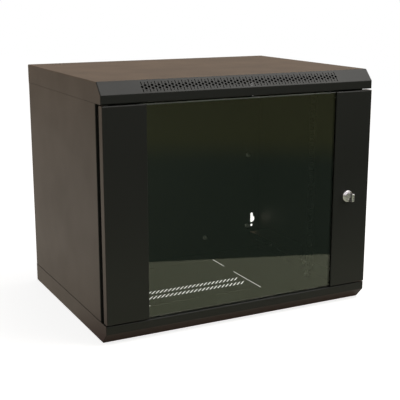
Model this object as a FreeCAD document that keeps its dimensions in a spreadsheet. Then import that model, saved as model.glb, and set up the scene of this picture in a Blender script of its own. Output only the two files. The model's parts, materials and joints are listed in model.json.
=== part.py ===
"""Wall mount network cabinet, 9 units high, with a glass door framed by two steel bands.

Millimetres. X runs to the right, Y from the front to the wall, Z up. The origin is the centre of
the base's outer face, so the front lips are at Y = -depth / 2 and the wall is at Y = depth / 2.
"""
import FreeCAD, Part

import os

import Sketcher
from FreeCAD import Vector

doc = FreeCAD.newDocument("network_cabinet")
sheet = doc.addObject("Spreadsheet::Sheet", "Dims")


# ---------------------------------------------------------------- sizes and expressions

class Size:
    """A number that also knows the sheet expression it comes from, so features can be bound to it."""

    def __init__(self, value, text):
        self.value = float(value)
        self.text = text

    def __add__(self, other):
        other = as_size(other)
        return Size(self.value + other.value, f"({self.text} + {other.text})")

    def __sub__(self, other):
        other = as_size(other)
        return Size(self.value - other.value, f"({self.text} - {other.text})")

    def __mul__(self, other):
        other = as_size(other)
        return Size(self.value * other.value, f"({self.text} * {other.text})")

    def __truediv__(self, other):
        other = as_size(other)
        return Size(self.value / other.value, f"({self.text} / {other.text})")

    def __radd__(self, other):
        return as_size(other) + self

    def __rsub__(self, other):
        return as_size(other) - self

    def __rmul__(self, other):
        return as_size(other) * self

    def __neg__(self):
        return Size(-self.value, f"(0 - {self.text})")


def as_size(number):
    """A plain number as a Size; a Size comes back as it is."""
    if isinstance(number, Size):
        return number
    return Size(number, repr(float(number)))


def root(number):
    return Size(number.value ** 0.5, f"sqrt({number.text})")


def whole(number):
    """The number rounded down, for a count."""
    return Size(number.value // 1, f"floor({number.text})")


rows_used = 0


def dim(name, value, note):
    """Write one driving dimension to the sheet under its own alias and return it as a Size."""
    global rows_used
    rows_used += 1
    sheet.set(f"A{rows_used}", name)
    sheet.set(f"B{rows_used}", str(value))
    sheet.setAlias(f"B{rows_used}", name)
    sheet.set(f"C{rows_used}", note)
    return Size(value, f"Dims.{name}")


WIDTH = dim("cab_width", 600, "outside width of the carcass")
DEPTH = dim("cab_depth", 450, "front lips to wall")
HEIGHT = dim("cab_height", 500, "outside height")
STEEL = dim("carcass_sheet", 1.2, "sheet of trays, panels and door bands")
BEND = dim("bend_round", 1.3, "outer radius of the side panels' and rails' folds")
SOFT_BEND = dim("soft_bend", 2, "outer radius of the trays' and door bands' folds")
TOUCH_GAP = dim("touch_gap", 0.3, "gap between pieces that nearly touch")
RUN_GAP = dim("run_gap", 0.05, "radial clearance of pins and shafts")

FLANGE = dim("tray_flange", 39.4, "height of the roof's and base's side flanges")
BEVEL_DEEP = dim("bevel_deep", 20.7, "front bevel, along Y")
BEVEL_HIGH = dim("bevel_high", 22.7, "front bevel, along Z")
SHELF = dim("lip_shelf", 22, "shelf folded back from the front lip")
HEM = dim("lip_hem", 8, "fold at the shelf's inner edge")
TONGUE = dim("tray_tongue", 60, "height of the tray's rear tongue behind the rear panel")
TONGUE_SIDE = dim("tongue_side", 48, "the tongue stops this far from the tray's sides")

PERF_PITCH = dim("perf_pitch", 13.84, "pattern pitch of the roof perforation")
PERF_MARGIN = dim("perf_margin", 85, "plain bevel at each end of the perforation, at least")
PERF_HOLE = dim("perf_hole", 5.4, "round hole diameter")
PERF_SLOT = dim("perf_slot", 1.7, "width of the small upright slots")
PERF_MIDDLE = dim("perf_middle", 14.5, "pattern's middle line up the bevel")
PERF_HOLE_STEP = dim("perf_hole_step", 3.4, "paired holes above and below the middle line")
PERF_EVEN_NEAR = dim("perf_even_near", 7, "paired-hole column: slot starts this far off the middle")
PERF_EVEN_FAR = dim("perf_even_far", 10.2, "paired-hole column: slot ends")
PERF_ODD_NEAR = dim("perf_odd_near", 3.7, "single-hole column: slot starts")
PERF_ODD_FAR = dim("perf_odd_far", 12.1, "single-hole column: slot ends")

VENT_PITCH = dim("vent_pitch", 10.04, "pitch of the slanted floor slots")
VENT_MARGIN = dim("vent_margin", 16, "plain sheet between a slot row and the knock-out's sides")
VENT_LONG = dim("vent_long", 22.4, "slot length between its end centres")
VENT_WIDE = dim("vent_wide", 3.4, "slot width")
VENT_FRONT = dim("vent_front", 211.7, "first slot row from the front")
VENT_ROW = dim("vent_row", 30.8, "spacing of the two slot rows")
KNOCK_WIDE = dim("knock_wide", 279, "knock-out cable panel, across")
KNOCK_FRONT = dim("knock_front", 164.6, "knock-out panel's front edge from the front")
KNOCK_BACK = dim("knock_back", 47.7, "knock-out panel's rear edge from the back")
KNOCK_SLIT = dim("knock_slit", 3.5, "width of the cut along the knock-out's sides")
KNOCK_END_SLIT = dim("knock_end_slit", 2.6, "width of the cut along the knock-out's front and back")
KNOCK_TAB = dim("knock_tab", 45, "uncut length in the middle of each side of the knock-out")
KNOCK_TAB_BACK = dim("knock_tab_back", 33, "side tabs sit this far behind the middle")

PANEL_FRONT = dim("panel_front", 30, "side panels start this far behind the lips")
PANEL_INSET = dim("panel_inset", 0.6, "side panels sit this far inside the trays' sides")
PANEL_GAP = dim("panel_gap", 0.6, "seam between side panel and tray")
PANEL_TAB = dim("panel_tab", 23, "tab that reaches inside the tray flange")
PANEL_LIP = dim("panel_lip", 20, "front fold of a side panel")
PANEL_BACK = dim("panel_back", 45, "rear fold of a side panel, which carries the cabinet")

KEY_IN = dim("key_in", 22.5, "keyholes, in from the cabinet's side")
KEY_LOW = dim("key_low", 79, "lower keyhole's round part above the base")
KEY_TOP = dim("key_top", 81, "upper keyhole's round part below the roof")
KEY_ROUND = dim("key_round", 17.4, "keyhole's round part, diameter")
KEY_SLOT = dim("key_slot", 8.4, "keyhole's slot width")
KEY_UP = dim("key_up", 12.8, "slot's end centre above the round part")
KEY_FIX = dim("key_fix", 6.5, "fixing hole below each keyhole")
KEY_FIX_DOWN = dim("key_fix_down", 16.5, "fixing hole below the round part's centre")

REAR_IN = dim("rear_in", 26.8, "rear panel's edges, in from the cabinet's sides")
REAR_END = dim("rear_end", 20, "rear panel stops this far from the top and bottom")
REAR_NUT_IN = dim("rear_nut_in", 37.4, "rear panel's side nuts, in from the cabinet's side")
REAR_NUT_LOW = dim("rear_nut_low", 63, "lowest side nut above the base")
REAR_NUT_X = dim("rear_nut_x", 139.4, "rear panel's top and bottom nuts, out from the middle")
REAR_NUT_Z = dim("rear_nut_z", 46.3, "bottom nuts above the base")

STUD = dim("stud_dia", 5, "weld studs")
STUD_LONG = dim("stud_long", 11, "weld stud length")
STUD_SLACK = dim("stud_slack", 0.3, "radial play round a stud in its hole")
NUT_FLATS = dim("nut_flats", 8, "nut across flats")
NUT_HIGH = dim("nut_high", 4, "nut height above its flange")
NUT_FLANGE = dim("nut_flange", 10.4, "diameter of the nut's flange")
NUT_FLANGE_HIGH = dim("nut_flange_high", 1, "thickness of the nut's flange")
TRAY_STUD_UP = dim("tray_stud_up", 27, "tray studs above the tray's outer face")
TRAY_STUD_FRONT = dim("tray_stud_front", 75, "outer tray studs from the front and the back")

UNIT = dim("rack_unit", 44.45, "one rack unit")
RACK_HOLE_X = dim("rack_hole_x", 232.55, "rack holes, out from the middle")
RACK_OPEN_X = dim("rack_open_x", 225.4, "rail flange's inner edge, out from the middle")
RACK_HOLE = dim("rack_hole", 9.5, "square hole for a cage nut")
RAIL_SHEET = dim("rail_sheet", 2, "rail thickness")
RAIL_WIDE = dim("rail_wide", 18.4, "rail flange width")
RAIL_DEEP = dim("rail_deep", 40, "rail web depth")
RAIL_FRONT = dim("rail_front", 116, "rail flange behind the lips")
RAIL_END = dim("rail_end", 42, "rails stop this far from the top and bottom")
BEAM_SHEET = dim("beam_sheet", 1.5, "rail support thickness")
BEAM_END = dim("beam_end", 41.4, "rail support's outer edge from the top or bottom")
BEAM_HIGH = dim("beam_high", 20, "rail support height")
BEAM_FRONT = dim("beam_front", 60, "rail support starts this far behind the lips")
BEAM_BACK = dim("beam_back", 50, "rail support ends this far from the back")
BEAM_SLOT = dim("beam_slot", 5.6, "width of the depth adjustment slots")
BEAM_SLOT_LONG = dim("beam_slot_long", 80, "length of a depth adjustment slot")
BEAM_SLOT_WEB = dim("beam_slot_web", 20, "metal between two slots")
BEAM_SLOT_END = dim("beam_slot_end", 30, "metal between a slot and the support's end, at least")
BEAM_STUD_FRONT = dim("beam_stud_front", 133, "first rail support stud behind the lips")
BEAM_STUD_BACK = dim("beam_stud_back", 87, "last rail support stud from the back")
RAIL_SCREW_STEP = dim("rail_screw_step", 20, "spacing of the two screws at each rail end")
SCREW_HEAD = dim("screw_head", 9, "pan head diameter")
SCREW_HEAD_HIGH = dim("screw_head_high", 3, "pan head height")

DOOR_PROUD = dim("door_proud", 3, "door face stands this far in front of the lips")
DOOR_DEEP = dim("door_deep", 18.5, "door band depth")
DOOR_GAP = dim("door_gap", 2.6, "gap between door and lips, top and bottom")
DOOR_SIDE = dim("door_side", 1.2, "door edges inside the cabinet's sides")
BAND_WIDE = dim("band_wide", 87.8, "door band width")
BAND_HEM = dim("band_hem", 15, "fold along the band's back edge")
BAND_LAP = dim("band_lap", 18, "bonding flange hidden behind the band's face")
GLASS_BACK = dim("glass_back", 3.9, "glass face behind the band's face")
GLASS_THICK = dim("glass_thick", 5, "tempered glass")
GLASS_ROUND = dim("glass_round", 2, "ground rounding of the glass's top and bottom edges")
TAPE = dim("tape_thick", 1, "bonding tape")
TAPE_WIDE = dim("tape_wide", 14, "bonding tape width")
BAND_CLEAR = dim("band_clear", 3, "band end plates stop this far from the glass edge")

HINGE_IN = dim("hinge_in", 10, "hinge axis in from the cabinet's side")
HINGE_BACK = dim("hinge_back", 7.5, "hinge axis behind the lips")
PIN = dim("pin_dia", 6, "hinge pin diameter")
PIN_COLLAR_DIA = dim("pin_collar_dia", 13, "collar diameter")
PIN_UP = dim("pin_up", 20, "lower pin above the base's shelf")
BUSH_DIA = dim("bush_dia", 9, "nylon bush barrel")
BUSH_LONG = dim("bush_long", 8, "bush barrel length")
BUSH_HEAD = dim("bush_head", 1.1, "bush head thickness")
LATCH_REACH = dim("latch_reach", 6, "sprung pin above the roof shelf's underside")
LATCH_LONG = dim("latch_long", 72, "sprung pin, tip to the middle of its tail")
LATCH_TAIL = dim("latch_tail", 24, "bent tail, from the axis")
LATCH_BEND = dim("latch_bend", 9, "bend radius of the tail")
PLATE_DROP = dim("plate_drop", 50, "spring plate below the door's top")
BRACKET_WIDE = dim("bracket_wide", 13, "hinge bracket width")
BRACKET_TALL = dim("bracket_tall", 34, "hinge bracket height")
SPRING_DIA = dim("spring_dia", 9.6, "spring's mean diameter")
SPRING_WIRE = dim("spring_wire", 1, "spring wire")
SPRING_TURNS = dim("spring_turns", 7, "spring turns")
CLIP_DIA = dim("clip_dia", 11, "clip that the spring pushes on")
CLIP_THICK = dim("clip_thick", 1.5, "clip thickness")

LOCK_IN = dim("lock_in", 54.5, "lock axis in from the cabinet's side")
LOCK_DOWN = dim("lock_down", 12.5, "lock axis below mid height")
ROSETTE_DIA = dim("rosette_dia", 24.6, "lock rosette")
ROSETTE_HIGH = dim("rosette_high", 4, "rosette thickness")
BARREL_DIA = dim("barrel_dia", 18, "lock barrel")
CORE_DIA = dim("core_dia", 12, "turning core")
CAM_GAP = dim("cam_gap", 0.8, "cam behind the side panel's front fold")
CAM_THICK = dim("cam_thick", 2.5, "cam thickness")
CAM_LONG = dim("cam_long", 44, "cam length from the lock's axis")
CAM_WIDE = dim("cam_wide", 16, "cam width")
CAM_SQUARE = dim("cam_square", 7, "square that drives the cam")
WING_TALL = dim("wing_tall", 16.5, "thumb-turn wing height")
WING_THICK = dim("wing_thick", 5.5, "thumb-turn wing thickness")
WING_OUT = dim("wing_out", 18, "thumb-turn in front of the rosette")
BOSS_DIA = dim("boss_dia", 17, "round foot of the thumb-turn")
BOSS_HIGH = dim("boss_high", 4, "foot thickness")
LOCK_NUT_FLATS = dim("lock_nut_flats", 23, "lock nut across flats")
LOCK_NUT_HIGH = dim("lock_nut_high", 4, "lock nut height")
CAM_SCREW = dim("cam_screw", 4, "cam screw diameter")
SCREW_BITE = dim("screw_bite", 9, "cam screw's length in the core")
ROSETTE_ROUND = dim("rosette_round", 2.4, "rounded edge of the rosette")
WING_ROUND = dim("wing_round", 1.2, "rounded edges of the wing")

BUMPER_DIA = dim("bumper_dia", 13, "rubber bumper diameter")
BUMPER_IN = dim("bumper_in", 11, "bumpers in from the cabinet's side")
BUMPER_UP = dim("bumper_up", 90, "bumpers from the top and bottom")
EARTH_X = dim("earth_x", 277, "earth stud right of the middle")
EARTH_BACK = dim("earth_back", 189, "earth stud behind the lips")
EARTH_DIA = dim("earth_dia", 6, "earth stud diameter")
EARTH_LONG = dim("earth_long", 18, "earth stud length")
EARTH_FLATS = dim("earth_flats", 10, "earth nut across flats")

SIDE = WIDTH / 2
FRONT = -DEPTH / 2
BACK = DEPTH / 2
KNOCK_DEEP = DEPTH - KNOCK_FRONT - KNOCK_BACK
PERF_COUNT = whole((WIDTH - 2 * PERF_MARGIN) / PERF_PITCH)
VENT_COUNT = whole((KNOCK_WIDE - 2 * VENT_MARGIN) / VENT_PITCH)
doc.recompute()


def from_front(distance):
    """The Y of a place this far behind the front lips."""
    return FRONT + distance


# ---------------------------------------------------------------- modelling helpers

def bind(item, prop, size):
    """Tie a property to the sheet, through the Size's expression."""
    item.setExpression(prop, as_size(size).text)


def new_body(label):
    body = doc.addObject("PartDesign::Body", label)
    body.Label = label
    return body


def new_sketch(body, plane, offset=0):
    """A sketch on one of the body's own origin planes, moved along the plane's normal.

    The normals are +Z for XY, -Y for XZ and +X for YZ.
    """
    sketch = body.newObject("Sketcher::SketchObject", body.Label + "_sketch")
    origin_plane = [f for f in body.Origin.OriginFeatures if f.Role == plane + "_Plane"][0]
    sketch.AttachmentSupport = [(origin_plane, "")]
    sketch.MapMode = "FlatFace"
    bind(sketch, "AttachmentOffset.Base.z", offset)
    return sketch


def pin_point(sketch, geometry, point, x, y):
    """Hold a point of a sketch at x, y from the sketch's origin."""
    for kind, size in (("DistanceX", as_size(x)), ("DistanceY", as_size(y))):
        if size.value == 0:
            axis = -2 if kind == "DistanceX" else -1
            sketch.addConstraint(Sketcher.Constraint("PointOnObject", geometry, point, axis))
        else:
            index = sketch.addConstraint(
                Sketcher.Constraint(kind, -1, 1, geometry, point, size.value))
            sketch.setExpression(f"Constraints[{index}]", size.text)


def draw_outline(sketch, points):
    """A closed outline of straight lines, each corner held by its own two sizes."""
    points = [(as_size(x), as_size(y)) for x, y in points]
    first = sketch.GeometryCount
    count = len(points)
    for i, (x, y) in enumerate(points):
        next_x, next_y = points[(i + 1) % count]
        line = Part.LineSegment(Vector(x.value, y.value, 0), Vector(next_x.value, next_y.value, 0))
        sketch.addGeometry(line, False)
    for i in range(count):
        following = first + (i + 1) % count
        sketch.addConstraint(Sketcher.Constraint("Coincident", first + i, 2, following, 1))
    for i, (x, y) in enumerate(points):
        pin_point(sketch, first + i, 1, x, y)


def draw_box(sketch, x_low, x_high, y_low, y_high):
    draw_outline(sketch, [(x_low, y_low), (x_high, y_low), (x_high, y_high), (x_low, y_high)])


def draw_circle(sketch, x, y, diameter):
    diameter = as_size(diameter)
    centre = Vector(as_size(x).value, as_size(y).value, 0)
    index = sketch.addGeometry(Part.Circle(centre, Vector(0, 0, 1), diameter.value / 2), False)
    pin_point(sketch, index, 3, x, y)
    across = sketch.addConstraint(Sketcher.Constraint("Diameter", index, diameter.value))
    sketch.setExpression(f"Constraints[{across}]", diameter.text)


def draw_slot(sketch, start, end, width):
    """A slot with round ends; start and end are the centres of its ends, width its full width."""
    width = as_size(width)
    (ax, ay), (bx, by) = [(as_size(x), as_size(y)) for x, y in (start, end)]
    a = Vector(ax.value, ay.value, 0)
    b = Vector(bx.value, by.value, 0)
    radius = width.value / 2
    along = (b - a).normalize()
    side = Vector(-along.y, along.x, 0) * radius
    far = sketch.addGeometry(Part.Arc(b - side, b + along * radius, b + side), False)
    top = sketch.addGeometry(Part.LineSegment(b + side, a + side), False)
    close = sketch.addGeometry(Part.Arc(a + side, a - along * radius, a - side), False)
    low = sketch.addGeometry(Part.LineSegment(a - side, b - side), False)
    for first, second in ((far, top), (top, close), (close, low), (low, far)):
        sketch.addConstraint(Sketcher.Constraint("Tangent", first, 2, second, 1))
    pin_point(sketch, close, 3, ax, ay)
    pin_point(sketch, far, 3, bx, by)
    sketch.addConstraint(Sketcher.Constraint("Equal", close, far))
    index = sketch.addConstraint(Sketcher.Constraint("Radius", close, radius))
    sketch.setExpression(f"Constraints[{index}]", (width / 2).text)


def pad(body, sketch, length, reverse=False):
    feature = body.newObject("PartDesign::Pad", body.Label + "_pad")
    feature.Profile = sketch
    bind(feature, "Length", length)
    feature.Reversed = reverse
    return feature


def pocket(body, sketch, depth):
    """Cut through the body, half the depth each way from the sketch, and check that it cut."""
    doc.recompute()
    volume = body.Tip.Shape.Volume
    feature = body.newObject("PartDesign::Pocket", body.Label + "_cut")
    feature.Profile = sketch
    bind(feature, "Length", depth)
    feature.SideType = "Symmetric"
    doc.recompute()
    if not feature.Shape.Volume < volume - 0.01:
        raise RuntimeError(f"a cut in {body.Label} removed nothing")
    return feature


def pattern(body, feature, direction, pitch, count):
    """Repeat a feature along one of the sketch's axes, given as 'H_Axis' or 'V_Axis'."""
    repeat = body.newObject("PartDesign::LinearPattern", body.Label + "_row")
    repeat.Originals = [feature]
    repeat.Direction = (feature.Profile[0], [direction])
    repeat.Mode = "Spacing"
    bind(repeat, "Offset", pitch)
    bind(repeat, "Occurrences", count)
    body.Tip = repeat
    return repeat


def fillet(body, feature, radius, chosen):
    """Round the edges of a feature that pass the test chosen(edge, its middle point)."""
    doc.recompute()
    names = []
    for number, edge in enumerate(feature.Shape.Edges, start=1):
        middle = edge.valueAt((edge.FirstParameter + edge.LastParameter) / 2)
        if chosen(edge, middle):
            names.append(f"Edge{number}")
    rounding = body.newObject("PartDesign::Fillet", body.Label + "_round")
    rounding.Base = (feature, names)
    bind(rounding, "Radius", radius)
    body.Tip = rounding
    return rounding


def revolve(body, points):
    """Turn an outline of (radius, height) points once round the body's own Z axis."""
    profile = new_sketch(body, "XZ")
    draw_outline(profile, points)
    turned = body.newObject("PartDesign::Revolution", body.Label + "_turned")
    turned.Profile = profile
    turned.ReferenceAxis = (profile, ["V_Axis"])
    turned.Angle = 360
    return turned


def place(body, x, y, z, tilt=0):
    """Put a body modelled round its own Z axis at x, y, z, tilted about X."""
    body.Placement = FreeCAD.Placement(Vector(0, 0, 0), FreeCAD.Rotation(Vector(1, 0, 0), tilt))
    for axis, size in (("x", x), ("y", y), ("z", z)):
        bind(body, "Placement.Base." + axis, size)


def near(value, size):
    return abs(value - as_size(size).value) < 0.01


def is_upright(edge):
    return near(edge.BoundBox.XLength, 0) and near(edge.BoundBox.YLength, 0)


# ---------------------------------------------------------------- studs, nuts and screws

def add_rods(body, plane, offset, points, length, diameter, reverse=False):
    """Round rods standing on a plane, one at each point."""
    face = new_sketch(body, plane, offset)
    for across, up in points:
        draw_circle(face, across, up, diameter)
    pad(body, face, length, reverse)


def draw_hexagon(sketch, x, y, flats):
    corner = as_size(flats) / root(as_size(3))
    half = corner / 2
    flat = as_size(flats) / 2
    draw_outline(sketch, [(x + corner, y), (x + half, y + flat), (x - half, y + flat),
                          (x - corner, y), (x - half, y - flat), (x + half, y - flat)])


def add_nuts(body, plane, offset, points, reverse=False, thread=STUD, flats=NUT_FLATS,
             high=NUT_HIGH):
    """Flanged hexagon nuts on a plane, one at each point, with a bore for the thread."""
    bore = thread + 2 * RUN_GAP
    flange = new_sketch(body, plane, offset)
    for across, up in points:
        draw_circle(flange, across, up, flats + NUT_FLANGE - NUT_FLATS)
        draw_circle(flange, across, up, bore)
    pad(body, flange, NUT_FLANGE_HIGH, reverse)
    seat = offset - NUT_FLANGE_HIGH if reverse else offset + NUT_FLANGE_HIGH
    hexagon = new_sketch(body, plane, seat)
    for across, up in points:
        draw_hexagon(hexagon, across, up, flats)
        draw_circle(hexagon, across, up, bore)
    pad(body, hexagon, high, reverse)


def mirror_levels(points):
    """Points of a YZ or XZ plane, and the same again measured down from the top."""
    return points + [(across, HEIGHT - up) for across, up in points]


# ---------------------------------------------------------------- roof and base

def tray(label, upper):
    """Folded sheet tray; levels are measured from its outer face, up or down."""
    def level(distance):
        return HEIGHT - distance if upper else as_size(distance)

    def lay(points):
        return [(y, level(z)) for y, z in points]

    body = new_body(label)
    slope = root(BEVEL_DEEP * BEVEL_DEEP + BEVEL_HIGH * BEVEL_HIGH)
    inner_rise = STEEL * (slope - BEVEL_HIGH) / BEVEL_DEEP
    inner_run = STEEL * (slope - BEVEL_DEEP) / BEVEL_HIGH
    shelf_end = from_front(SHELF)
    folded = new_sketch(body, "YZ", -SIDE)
    draw_outline(folded, lay([
        (BACK, FLANGE), (BACK, 0), (FRONT + BEVEL_DEEP, 0), (FRONT, BEVEL_HIGH), (FRONT, FLANGE),
        (shelf_end, FLANGE), (shelf_end, FLANGE - HEM),
        (shelf_end - STEEL, FLANGE - HEM), (shelf_end - STEEL, FLANGE - STEEL),
        (FRONT + STEEL, FLANGE - STEEL), (FRONT + STEEL, BEVEL_HIGH + inner_rise),
        (FRONT + BEVEL_DEEP + inner_run, STEEL), (BACK - STEEL, STEEL), (BACK - STEEL, FLANGE)]))
    pad(body, folded, WIDTH)
    for side in (-1, 1):
        cheek = new_sketch(body, "YZ", side * SIDE)
        draw_outline(cheek, lay([(BACK, 0), (FRONT + BEVEL_DEEP, 0), (FRONT, BEVEL_HIGH),
                                 (FRONT, FLANGE), (BACK, FLANGE)]))
        pad(body, cheek, STEEL, reverse=side > 0)
    tongue = new_sketch(body, "XZ", -BACK)
    reach = SIDE - TONGUE_SIDE
    draw_box(tongue, -reach, reach, *sorted((level(FLANGE - STEEL), level(TONGUE)),
                                            key=lambda size: size.value))
    last = pad(body, tongue, STEEL)

    outer_z = level(0).value
    lip_z = level(FLANGE).value
    bend_z = level(BEVEL_HIGH).value
    bevel_y = (FRONT + BEVEL_DEEP).value
    bevel_middle = (FRONT + BEVEL_DEEP / 2).value

    def on_fold(edge, middle):
        across = edge.BoundBox.XLength > WIDTH.value / 2
        if across:
            return ((near(middle.y, bevel_y) and near(middle.z, outer_z))
                    or (near(middle.y, FRONT) and (near(middle.z, bend_z) or near(middle.z, lip_z)))
                    or (near(middle.y, BACK) and near(middle.z, outer_z)))
        at_side = near(abs(middle.x), SIDE) and near(edge.BoundBox.XLength, 0)
        return at_side and (near(middle.z, outer_z) or near(middle.y, FRONT)
                            or near(middle.y, bevel_middle) or near(middle.y, BACK))

    fillet(body, last, SOFT_BEND, on_fold)
    hinge = new_sketch(body, "XY", level(FLANGE))
    draw_circle(hinge, HINGE_IN - SIDE, from_front(HINGE_BACK), PIN + 2 * RUN_GAP)
    pocket(body, hinge, 4 * STEEL)
    return body


def cut_knockout(body):
    """The slit round the base's cable panel, left whole at a tab in the middle of each side."""
    half = KNOCK_WIDE / 2
    front_arm = KNOCK_DEEP / 2 + KNOCK_TAB_BACK - KNOCK_TAB / 2
    back_arm = KNOCK_DEEP / 2 - KNOCK_TAB_BACK - KNOCK_TAB / 2
    side_arm = half - KNOCK_TAB / 2
    outline = new_sketch(body, "XY")
    for side in (-1, 1):
        for corner_y, turn, arm in ((from_front(KNOCK_FRONT), 1, front_arm),
                                    (from_front(KNOCK_FRONT + KNOCK_DEEP), -1, back_arm)):
            inner_y = corner_y + turn * KNOCK_END_SLIT
            end_y = corner_y + turn * arm
            draw_outline(outline, [
                (side * half, corner_y), (side * (half - side_arm), corner_y),
                (side * (half - side_arm), inner_y), (side * (half - KNOCK_SLIT), inner_y),
                (side * (half - KNOCK_SLIT), end_y), (side * half, end_y)])
    pocket(body, outline, 4 * STEEL)


def cut_vents(body):
    """Two rows of slots in the floor, slanted at 45 degrees."""
    first_x = -(VENT_COUNT - 1) * VENT_PITCH / 2
    lean = VENT_LONG / 2 / root(as_size(2))
    rows = new_sketch(body, "XY")
    for y in (from_front(VENT_FRONT), from_front(VENT_FRONT + VENT_ROW)):
        draw_slot(rows, (first_x - lean, y - lean), (first_x + lean, y + lean), VENT_WIDE)
    cut = pocket(body, rows, 4 * STEEL)
    pattern(body, cut, "H_Axis", VENT_PITCH, VENT_COUNT)


def cut_perforation(body):
    """The roof bevel's ventilation: upright slots and staggered round holes, column by column."""
    def bevel_sketch():
        sketch = new_sketch(body, "XY", HEIGHT - BEVEL_HIGH)
        tilt = FreeCAD.Rotation(Vector(1, 0, 0), 45)
        sketch.AttachmentOffset = FreeCAD.Placement(Vector(0, 0, 0), tilt)
        bind(sketch, "AttachmentOffset.Base.y", FRONT)
        bind(sketch, "AttachmentOffset.Base.z", HEIGHT - BEVEL_HIGH)
        sketch.setExpression("AttachmentOffset.Rotation.Angle",
                             f"atan({BEVEL_HIGH.text} / {BEVEL_DEEP.text})")
        return sketch

    middle = PERF_MIDDLE
    first_even = -(PERF_COUNT - 1) * PERF_PITCH / 2
    first_odd = first_even - PERF_PITCH / 2
    cap = PERF_SLOT / 2
    columns = ((first_even, PERF_COUNT, (-PERF_HOLE_STEP, PERF_HOLE_STEP), PERF_EVEN_NEAR,
                PERF_EVEN_FAR),
               (first_odd, PERF_COUNT + 1, (0,), PERF_ODD_NEAR, PERF_ODD_FAR))
    for x, count, hole_places, slot_near, slot_far in columns:
        column = bevel_sketch()
        for place_up in hole_places:
            draw_circle(column, x, middle + place_up, PERF_HOLE)
        for turn in (-1, 1):
            draw_slot(column, (x, middle + turn * (slot_near + cap)),
                      (x, middle + turn * (slot_far - cap)), PERF_SLOT)
        cut = pocket(body, column, 4 * STEEL)
        pattern(body, cut, "H_Axis", PERF_PITCH, count)


# ---------------------------------------------------------------- side and rear panels

def side_panel(label, side):
    """Outer wall between the trays, with a front fold, a load-carrying rear fold and two tabs."""
    body = new_body(label)
    outer = SIDE - PANEL_INSET
    inner = outer - STEEL
    low = FLANGE + PANEL_GAP
    high = HEIGHT - low
    front = from_front(PANEL_FRONT)
    plan = new_sketch(body, "XY", low)
    draw_outline(plan, [
        (side * outer, front), (side * outer, BACK), (side * (outer - PANEL_BACK), BACK),
        (side * (outer - PANEL_BACK), BACK - STEEL), (side * inner, BACK - STEEL),
        (side * inner, front + STEEL), (side * (outer - PANEL_LIP), front + STEEL),
        (side * (outer - PANEL_LIP), front)])
    pad(body, plan, high - low)

    tab_outer = SIDE - STEEL
    tab_inner = tab_outer - STEEL
    root_up = low + STEEL
    lower_tab = [(outer, root_up), (outer, low), (tab_outer, FLANGE),
                 (tab_outer, FLANGE - PANEL_TAB), (tab_inner, FLANGE - PANEL_TAB),
                 (tab_inner, low), (inner, root_up)]
    tabs = new_sketch(body, "XZ", -front)
    draw_outline(tabs, [(side * x, z) for x, z in lower_tab])
    draw_outline(tabs, [(side * x, HEIGHT - z) for x, z in lower_tab])
    last = pad(body, tabs, BACK - STEEL - TOUCH_GAP - front, reverse=True)

    def on_fold(edge, middle):
        long_edge = is_upright(edge) and edge.Length > FLANGE.value
        return (long_edge and near(middle.x, side * outer)
                and (near(middle.y, front) or near(middle.y, BACK)))

    fillet(body, last, BEND, on_fold)

    key_x = side * (SIDE - KEY_IN)
    slots = new_sketch(body, "XZ", -BACK)
    rounds = new_sketch(body, "XZ", -BACK)
    for key_z in (KEY_LOW, HEIGHT - KEY_TOP):
        draw_slot(slots, (key_x, key_z), (key_x, key_z + KEY_UP), KEY_SLOT)
        draw_circle(rounds, key_x, key_z, KEY_ROUND)
        draw_circle(rounds, key_x, key_z - KEY_FIX_DOWN, KEY_FIX)
    pocket(body, slots, 4 * STEEL)
    pocket(body, rounds, 4 * STEEL)
    stud_holes = new_sketch(body, "YZ", side * tab_inner)
    for y, z in tray_stud_points():
        draw_circle(stud_holes, y, z, STUD + 2 * STUD_SLACK)
    pocket(body, stud_holes, 4 * STEEL)
    return body


def tray_stud_points():
    """Where the tray studs pass through the side panel tabs, as (y, z)."""
    outermost = BACK - TRAY_STUD_FRONT
    return mirror_levels([(i * outermost, TRAY_STUD_UP) for i in (-1, 0, 1)])


def rear_stud_points():
    """The studs that hold the rear panel, as (x, z)."""
    side_x = SIDE - REAR_NUT_IN
    points = []
    for side in (-1, 1):
        points += mirror_levels([(side * side_x, REAR_NUT_LOW), (side * REAR_NUT_X, REAR_NUT_Z)])
        points.append((side * side_x, HEIGHT / 2))
    return points


def rear_panel():
    body = new_body("rear_panel")
    face = new_sketch(body, "XZ", STEEL - BACK)
    draw_box(face, REAR_IN - SIDE, SIDE - REAR_IN, REAR_END, HEIGHT - REAR_END)
    pad(body, face, STEEL)
    holes = new_sketch(body, "XZ", STEEL - BACK)
    for x, z in rear_stud_points():
        draw_circle(holes, x, z, STUD + 2 * STUD_SLACK)
    pocket(body, holes, 4 * STEEL)
    return body


def panel_fixings():
    """Weld studs on the trays and side folds, and the nuts on them."""
    tray_face = SIDE - STEEL
    for label, level_of in (("base", lambda z: as_size(z)), ("roof", lambda z: HEIGHT - z)):
        studs = new_body(label + "_studs")
        nuts = new_body(label + "_nuts")
        points = [(y, level_of(TRAY_STUD_UP)) for y, z in tray_stud_points()[:3]]
        for side in (-1, 1):
            inward = side > 0
            add_rods(studs, "YZ", side * tray_face, points, STUD_LONG, STUD, inward)
            add_nuts(nuts, "YZ", side * (tray_face - STEEL), points, inward)
    rear_studs = new_body("rear_studs")
    add_rods(rear_studs, "XZ", STEEL - BACK, rear_stud_points(), STUD_LONG, STUD)
    rear_nuts = new_body("rear_nuts")
    add_nuts(rear_nuts, "XZ", 2 * STEEL - BACK, rear_stud_points())


# ---------------------------------------------------------------- 19 inch rails

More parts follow.
